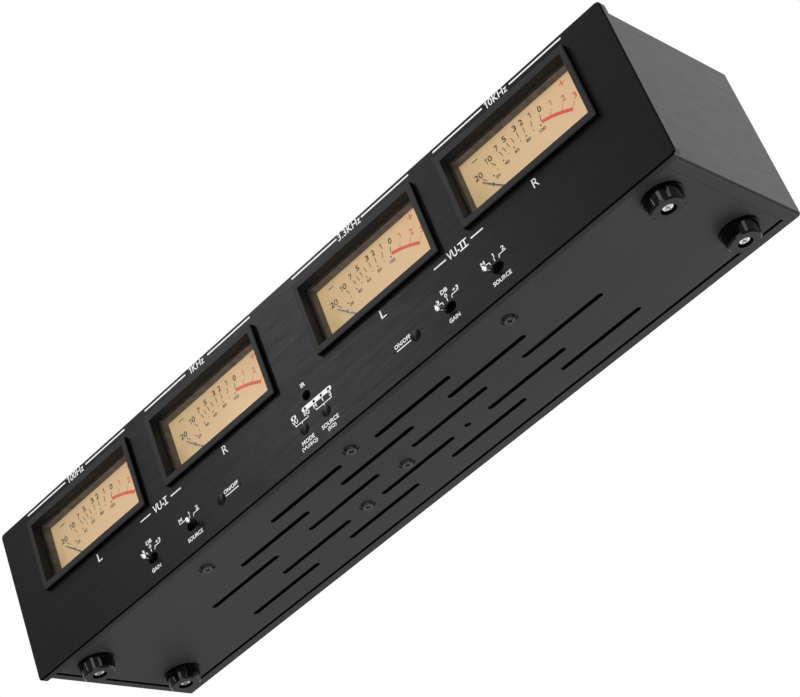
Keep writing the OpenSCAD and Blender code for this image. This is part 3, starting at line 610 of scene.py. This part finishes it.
def dress_connectors():
    """Nickel jacks with white and red rings in turn, and a black power inlet with a nickel pin."""
    inlet_look = moulded("inlet_black", grey(0.012), 0.4)
    nickel_look = metal("jack_nickel", (0.62, 0.6, 0.55), 0.22)
    dress(nickel_look, "rca_jacks")
    dress_faces(inlet_look, lambda face: face.center.y < REAR_Y - SHEET, "rca_jacks")
    rings = (("insert_white", (0.75, 0.74, 0.7)), ("insert_red", (0.5, 0.02, 0.02)))
    for remainder, (name, colour) in enumerate(rings):
        dress_faces(moulded(name, colour, 0.35), lambda face: is_insert(face, remainder), "rca_jacks")
    dress(inlet_look, "dc_jack")
    dress_faces(nickel_look, is_inlet_pin, "dc_jack")


dress_panel()
dress_sheets()
dress_frame_and_screws()
dress_feet()
dress_bezels()
dress_movements()
dress_lenses()
dress_controls()
dress_boards()
dress_connectors()


# ---------------------------------------------------------------- lettering on the front panel
SLANT = 0.05
BOLD = 0.012  # how far text() moves an outline out, at size 1
SMALL_BOLD = 0.02
TITLE_Z, TITLE_HEIGHT, TITLE_STROKE = 84.0, 3.8, 0.62
TITLE_RULE_Z, TITLE_RULE_T = TITLE_Z + 0.15, 0.85
TITLE_RULE_FROM, TITLE_RULE_TO = 8.45, 40.1  # from the middle of a meter
TITLES = (("100Hz", 13.2), ("1KHz", 10.9), ("3.3KHz", 15.4), ("10KHz", 13.6))  # words, width
CHANNEL_Z, CHANNEL_WIDTH, CHANNEL_HEIGHT = 34.55, 3.3, 4.4
GROUP_Z, GROUP_HEIGHT, GROUP_STROKE = 34.45, 4.3, 0.62
GROUP_RULE_Z, GROUP_RULE_T = GROUP_Z - 0.2, 0.75
GROUP_RULES = ((-15.3, -7.6), (8.05, 15.6))
GROUP_WORDS = {1: (-1.4, 7.9), 2: (-2.9, 7.2)}  # shift and width, by the number that follows them
ROMAN_GAP, ROMAN_HALF, ROMAN_SERIF, ROMAN_PITCH = 0.1, 1.25, 1.35, 2.1
LEGEND_STROKE = 0.42
LEVER_MARK_TOP, LEVER_MARK_LOW = 18.3, 16.6  # the stroke over the middle of a toggle switch
LEVER_BRACKET = ((7.3, 17.95), (3.1, 17.95), (2.6, 16.5))  # beside it, x from the switch and z
LED_XS = (-11.3, -3.4, 2.7, 7.6, 12.6)
LED_Z = 22.3
LED_HOLE_R = 0.72
CENTRE_BRACKETS = ((-11.6, -3.1, -7.5), (2.5, 12.8, 7.6))  # left, right and stem
BRACKET_TOP, BRACKET_Z, STEM_TOP, STEM_LOW = 18.6, 17.7, 17.5, 16.6
POWER_X = 59.2
POWER_WORD_Z = 15.5
POWER_RULE_Z, POWER_RULE_HALF, POWER_RULE_T = 13.3, 4.6, 0.5

white_ink = ink("ink_white", (0.85, 0.85, 0.85), 0.5, 0.05)
black_ink = ink("ink_black", (0.022, 0.018, 0.014), 0.6, 0.3)
# painted glow: the red ink on the dials glows with the card
red_ink = ink("ink_red", (0.62, 0.082, 0.050), 0.55, 0.1, DIAL_PAINTED_GLOW)
silk = Printing(0.0, PANEL_LOW.z, PANEL_LOW.y)


def print_titles():
    """Frequency bands between rules above the meters, and channel letters below."""
    for k, (words, width), channel in zip(METERS, TITLES, "LRLR"):
        low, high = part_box(f"bezel_{k}")
        x = (low.x + high.x) / 2 / MM
        silk.figures(words, x, TITLE_Z, width, TITLE_HEIGHT, TITLE_STROKE, BOLD, SLANT)
        for side in SIDES:
            rule = [(x + side * reach, TITLE_RULE_Z) for reach in (TITLE_RULE_TO, TITLE_RULE_FROM)]
            silk.line(rule[::side], TITLE_RULE_T)
        silk.text(channel, x, CHANNEL_Z, CHANNEL_WIDTH, CHANNEL_HEIGHT)


def roman(x, z, count, height, stroke):
    """One or two capital I with serifs that join."""
    reach = ROMAN_SERIF * count
    for i in range(count):
        middle = x + (i - (count - 1) / 2) * ROMAN_PITCH
        silk.line([(middle, z + height / 2 - stroke), (middle, z - height / 2 + stroke)], stroke)
    for side in SIDES:
        level = z + side * (height - stroke) / 2
        silk.line([(x - reach, level), (x + reach, level)], stroke)


def print_legends(legends):
    """Small words, each given as words, x, z, width and height."""
    for words, x, z, width, height in legends:
        silk.figures(words, x, z, width, height, LEGEND_STROKE, SMALL_BOLD)


def print_switch_group(x_gain, x_source, middle, count):
    """The lettering of one pair of toggle switches, under a title round middle."""
    shift, width = GROUP_WORDS[count]
    silk.text("VU-", middle + shift, GROUP_Z, width, GROUP_HEIGHT, BOLD)
    x_roman = middle + shift + width / 2 + ROMAN_GAP + ROMAN_HALF * count
    roman(x_roman, GROUP_Z, count, GROUP_HEIGHT, GROUP_STROKE)
    for start, end in GROUP_RULES:
        silk.line([(middle + start, GROUP_RULE_Z), (middle + end, GROUP_RULE_Z)], GROUP_RULE_T)
    print_legends((
        ("DB", x_gain, 22.2, 4.1, 2.1), ("0", x_gain, 19.6, 1.6, 2.0),
        ("+3", x_gain + 5.9, 19.4, 3.5, 2.0), ("-3", x_gain - 6.0, 19.4, 3.3, 2.0),
        ("GAIN", x_gain, 7.4, 6.6, 2.1), ("SOURCE", x_source, 7.3, 10.8, 2.1),
        ("M", x_source - 6.2, 19.6, 2.4, 2.1), ("1", x_source, 19.6, 1.0, 2.1),
        ("2", x_source + 6.0, 19.6, 1.8, 2.1),
    ))
    for x in (x_gain, x_source):
        silk.line([(x, LEVER_MARK_TOP), (x, LEVER_MARK_LOW)], LEGEND_STROKE)
        for side in SIDES:
            bracket = [(x + side * dx, z) for dx, z in LEVER_BRACKET]
            silk.line(bracket[::-side], LEGEND_STROKE)


def print_centre():
    """The lettering round the remote window, the indicators and the two small buttons."""
    silk.text("IR", 0.0, 33.5, 2.9, 2.3, SMALL_BOLD)
    holes = [(x, LED_Z, LED_HOLE_R) for x in LED_XS]
    silk.pill(-13.0, -9.6, 21.2, 23.4, holes[:1])
    silk.pill(-5.4, 14.6, 21.1, 23.5, holes[1:])
    print_legends((
        ("VU", -11.2, 19.85, 3.6, 2.0), ("EQ", -3.2, 19.85, 3.6, 2.1), ("M", 2.5, 19.9, 2.2, 2.0),
        ("1", 7.5, 19.9, 1.0, 2.0), ("2", 12.7, 19.9, 1.8, 2.0),
        ("MODE", -7.5, 7.85, 8.3, 2.2), ("(VU/EQ)", -7.6, 4.9, 10.4, 2.3),
        ("SOURCE", 7.5, 7.7, 11.2, 2.1), ("(EQ)", 7.5, 4.9, 5.5, 2.2),
    ))
    for left, right, stem in CENTRE_BRACKETS:
        bracket = [(left, BRACKET_TOP), (left, BRACKET_Z), (right, BRACKET_Z), (right, BRACKET_TOP)]
        silk.line(bracket, LEGEND_STROKE)
        silk.line([(stem, STEM_TOP), (stem, STEM_LOW)], LEGEND_STROKE)


def print_power(x):
    """The lettering over a power button."""
    silk.text("ON/OFF", x, POWER_WORD_Z, 10.2, 2.1, SMALL_BOLD)
    silk.line([(x - POWER_RULE_HALF, POWER_RULE_Z), (x + POWER_RULE_HALF, POWER_RULE_Z)], POWER_RULE_T)


print_titles()
print_switch_group(-118.2, -88.8, -104.0, 1)
print_switch_group(88.9, 118.3, 103.8, 2)
print_centre()
for side in SIDES:
    print_power(side * POWER_X)
silk.piece("silk_front", white_ink, "case")


# ---------------------------------------------------------------- dial scales
ARC_Z = 11.4  # height of the point that the scale is drawn round
TICK_AIM_Z = 31.0  # height of the point that the ticks are aimed at
TICK_TOP_R, TICK_LOW_R = 57.15, 54.05
TICK_STEEPEST = 0.5  # least cosine between a tick and its radius
NUMERAL_R, LABEL_R, DOT_R = 59.75, 49.7, 52.05
NUMERAL_HEIGHT, LABEL_HEIGHT = 3.1, 1.7
TICK_T, RED_TICK_T = 0.36, 0.3
NUMERAL_STROKE, RED_NUMERAL_STROKE, LABEL_STROKE = 0.40, 0.36, 0.24
NUMERAL_BOLD, RED_NUMERAL_BOLD, LABEL_BOLD = 0.014, 0.01, 0.02
BAND_R, BAND_WIDTH, BAND_FROM, BAND_TO = 53.35, 1.65, 10.6, 26.6
SIGN_STROKE = 0.42
MINUS_XS, MINUS_Z = (-29.1, -25.6), 71.95
PLUS_XS, PLUS_Z = (25.3, 28.8), 72.5
PLUS_STEM_X, PLUS_STEM_REACH = 27.05, 1.65

# Marks by their x on the arc, with a width behind it, or a dot's radius
TICKS = (-27.6, -20.1, -14.45, -11.95, -9.3, -6.2, -2.7, 1.2, 5.95, 11.35)
RED_TICKS = (17.3, 23.4, 29.05)
NUMERALS = (("20", -28.8, 4.7), ("10", -20.85, 4.1), ("7", -14.9, 1.85), ("5", -9.65, 2.0),
            ("3", -2.8, 2.0), ("2", 1.3, 2.0), ("1", 6.35, 1.1), ("0", 12.2, 2.1))
RED_NUMERALS = (("1", 18.0, 1.1), ("2", 24.8, 2.0), ("3", 30.2, 2.0))
DOTS = ((-25.3, 0.3), (-21.6, 0.42), (-18.45, 0.3), (-14.1, 0.42), (-10.25, 0.3), (-6.7, 0.42),
        (-2.55, 0.3), (1.1, 0.42), (5.35, 0.3), (9.55, 0.42))
LABELS = (("0", -23.4, 1.3), ("20", -19.6, 2.7), ("40", -12.8, 2.7), ("60", -6.05, 2.7),
          ("80", 1.3, 2.7), ("100", 9.45, 3.8))


def on_arc(dx, radius):
    return dx, ARC_Z + math.sqrt(radius * radius - dx * dx)


def tick(scale, dx, width):
    top = Vector(on_arc(dx, TICK_TOP_R))
    aim = (Vector((0, TICK_AIM_Z)) - top).normalized()
    outward = (top - Vector((0, ARC_Z))).normalized()
    length = (TICK_TOP_R - TICK_LOW_R) / max(TICK_STEEPEST, outward.dot(-aim))
    scale.line([tuple(top), tuple(top + aim * length)], width)


def print_black(scale):
    for dx in TICKS:
        tick(scale, dx, TICK_T)
    for words, dx, width in NUMERALS:
        place = on_arc(dx, NUMERAL_R)
        scale.figures(words, *place, width, NUMERAL_HEIGHT, NUMERAL_STROKE, NUMERAL_BOLD)
    for dx, radius in DOTS:
        scale.disc(*on_arc(dx, DOT_R), radius)
    for words, dx, width in LABELS:
        place = on_arc(dx, LABEL_R)
        scale.figures(words, *place, width, LABEL_HEIGHT, LABEL_STROKE, LABEL_BOLD)
    scale.line([(x, MINUS_Z) for x in MINUS_XS], SIGN_STROKE)


def print_red(scale):
    """The range above zero, with a plus sign whose bar and stem don't overlap."""
    for dx in RED_TICKS:
        tick(scale, dx, RED_TICK_T)
    for words, dx, width in RED_NUMERALS:
        place = on_arc(dx, NUMERAL_R)
        scale.figures(words, *place, width, NUMERAL_HEIGHT, RED_NUMERAL_STROKE, RED_NUMERAL_BOLD)
    scale.arc(ARC_Z, BAND_R, BAND_WIDTH, BAND_FROM, BAND_TO)
    scale.line([(x, PLUS_Z) for x in PLUS_XS], SIGN_STROKE)
    for way in SIDES:
        stem = [(PLUS_STEM_X, PLUS_Z + way * reach) for reach in (SIGN_STROKE / 2, PLUS_STEM_REACH)]
        scale.line(stem, SIGN_STROKE)


SCALE_PIECES = (("dial_scale", black_ink, print_black), ("dial_red", red_ink, print_red))
for k in METERS:
    low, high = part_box(f"dial_{k}")
    for name, look, print_scale in SCALE_PIECES:
        scale = Printing((low.x + high.x) / 2, PANEL_LOW.z, low.y)
        print_scale(scale)
        scale.piece(f"{name}_{k}", look, "case")


# ---------------------------------------------------------------- floor, light and camera
FLOOR_HALF = 3.0
FLOOR_Z = -0.0003  # a little below the feet
FLOOR_FADE = (0.45, 1.1)  # metres from the middle between which the floor fades out
ROOM_LIGHT = 0.3
SENSOR_MM = 36
PHOTO_WIDTH_PX = 800
FOCAL_PX = 2122.2
CAMERA_PLACE = (0.491175, -0.728824, -0.460459)
CAMERA_TURN = Quaternion((0.491373, 0.772745, 0.399124, 0.046029))


def make_floor():
    """Pale floor that fades into the white room. Only cameras above it see it, so it hides nothing."""
    mesh = bpy.data.meshes.new("floor")
    corners = ((-1, -1), (1, -1), (1, 1), (-1, 1))
    mesh.from_pydata([(x * FLOOR_HALF, y * FLOOR_HALF, FLOOR_Z) for x, y in corners], [], [(0, 1, 2, 3)])
    floor = bpy.data.objects.new("floor", mesh)
    bpy.context.scene.collection.objects.link(floor)
    look = Look("floor_pale", grey(0.9), 0.9, 0.0, 0.0)
    cloud = look.noise(4, 2)
    look.paint(cloud, grey(0.88), grey(0.92))
    path = look.add("ShaderNodeLightPath")
    side = look.add("ShaderNodeNewGeometry")
    above = look.math("SUBTRACT", 1.0, side.outputs["Backfacing"])
    reach = look.add("ShaderNodeVectorMath", operation="LENGTH")
    look.link(look.coords(), reach.inputs[0])
    near = look.spread(reach.outputs["Value"], 1, 0, *FLOOR_FADE)
    seen = look.math("MULTIPLY", look.math("MULTIPLY", path.outputs["Is Camera Ray"], above), near)
    look.mix_surface(seen, look.add("ShaderNodeBsdfTransparent"), look.bsdf)
    mesh.materials.append(look.mat)


def make_world():
    """White to the camera, in reflections and through glass, and a dimmer light from all sides."""
    world = bpy.data.worlds.new("studio")
    bpy.context.scene.world = world
    world.use_nodes = True
    tree = world.node_tree
    tree.nodes.clear()
    out = tree.nodes.new("ShaderNodeOutputWorld")
    path = tree.nodes.new("ShaderNodeLightPath")
    mix = tree.nodes.new("ShaderNodeMixShader")
    for socket, strength in ((1, ROOM_LIGHT), (2, 1)):
        white = tree.nodes.new("ShaderNodeBackground")
        white.inputs["Color"].default_value = (1, 1, 1, 1)
        white.inputs["Strength"].default_value = strength
        tree.links.new(white.outputs[0], mix.inputs[socket])
    seen = path.outputs["Is Camera Ray"]
    for kind in ("Is Glossy Ray", "Is Transmission Ray"):
        either = tree.nodes.new("ShaderNodeMath")
        either.operation = "MAXIMUM"
        tree.links.new(seen, either.inputs[0])
        tree.links.new(path.outputs[kind], either.inputs[1])
        seen = either.outputs[0]
    tree.links.new(seen, mix.inputs[0])
    tree.links.new(mix.outputs[0], out.inputs["Surface"])


def lamp(name, place, aim, size, power, gloss_only=False):
    """A rectangular lamp, its size given as width and height. A gloss_only lamp makes only highlights."""
    data = bpy.data.lights.new(name, "AREA")
    data.shape = "RECTANGLE"
    data.size, data.size_y = size
    data.energy = power
    made = bpy.data.objects.new(name, data)
    bpy.context.scene.collection.objects.link(made)
    made.location = place
    made.rotation_euler = (Vector(aim) - Vector(place)).to_track_quat("-Z", "Y").to_euler()
    made.visible_diffuse = not gloss_only


def make_lamps():
    lamp("key", (-0.75, -0.65, 1.6), (0, -0.05, 0.05), (0.9, 0.9), 26)
    lamp("sheen", (-0.910, -1.36, 1.035), (0.01, -0.05, 0.05), (0.032, 0.6), 9.5, gloss_only=True)
    lamp("fill", (0.12, -0.95, -1.45), (-0.05, 0, 0.05), (0.9, 0.9), 10)
    lamp("front", (0.45, -1.65, 0.3), (0, 0, 0.05), (0.5, 0.5), 8.5)
    lamp("top", (0.1, 0.3, 2.0), (0, 0, 0.05), (1.4, 1.4), 14)
    lamp("strip", (-0.85, -1.3, 0.26), (0, 0, 0), (0.11, 0.35), 2.2, gloss_only=True)
    lamp("window", (1.35, -0.68, 0.1), (0, 0, 0), (0.42, 0.3), 3, gloss_only=True)
    lamp("under", (0.25, 1.4, -0.95), (0.15, 0, 0), (1.0, 1.0), 10.5)


def make_camera():
    """The photograph's camera, found from the object's edges and screws."""
    data = bpy.data.cameras.new("camera")
    data.sensor_width = SENSOR_MM
    data.lens = SENSOR_MM * FOCAL_PX / PHOTO_WIDTH_PX
    data.clip_start = 0.01
    data.clip_end = 50
    camera = bpy.data.objects.new("camera", data)
    bpy.context.scene.collection.objects.link(camera)
    camera.matrix_world = Matrix.Translation(CAMERA_PLACE) @ CAMERA_TURN.to_matrix().to_4x4()
    bpy.context.scene.camera = camera


make_floor()
make_world()
make_lamps()
make_camera()
bpy.context.scene.view_settings.view_transform = "Standard"
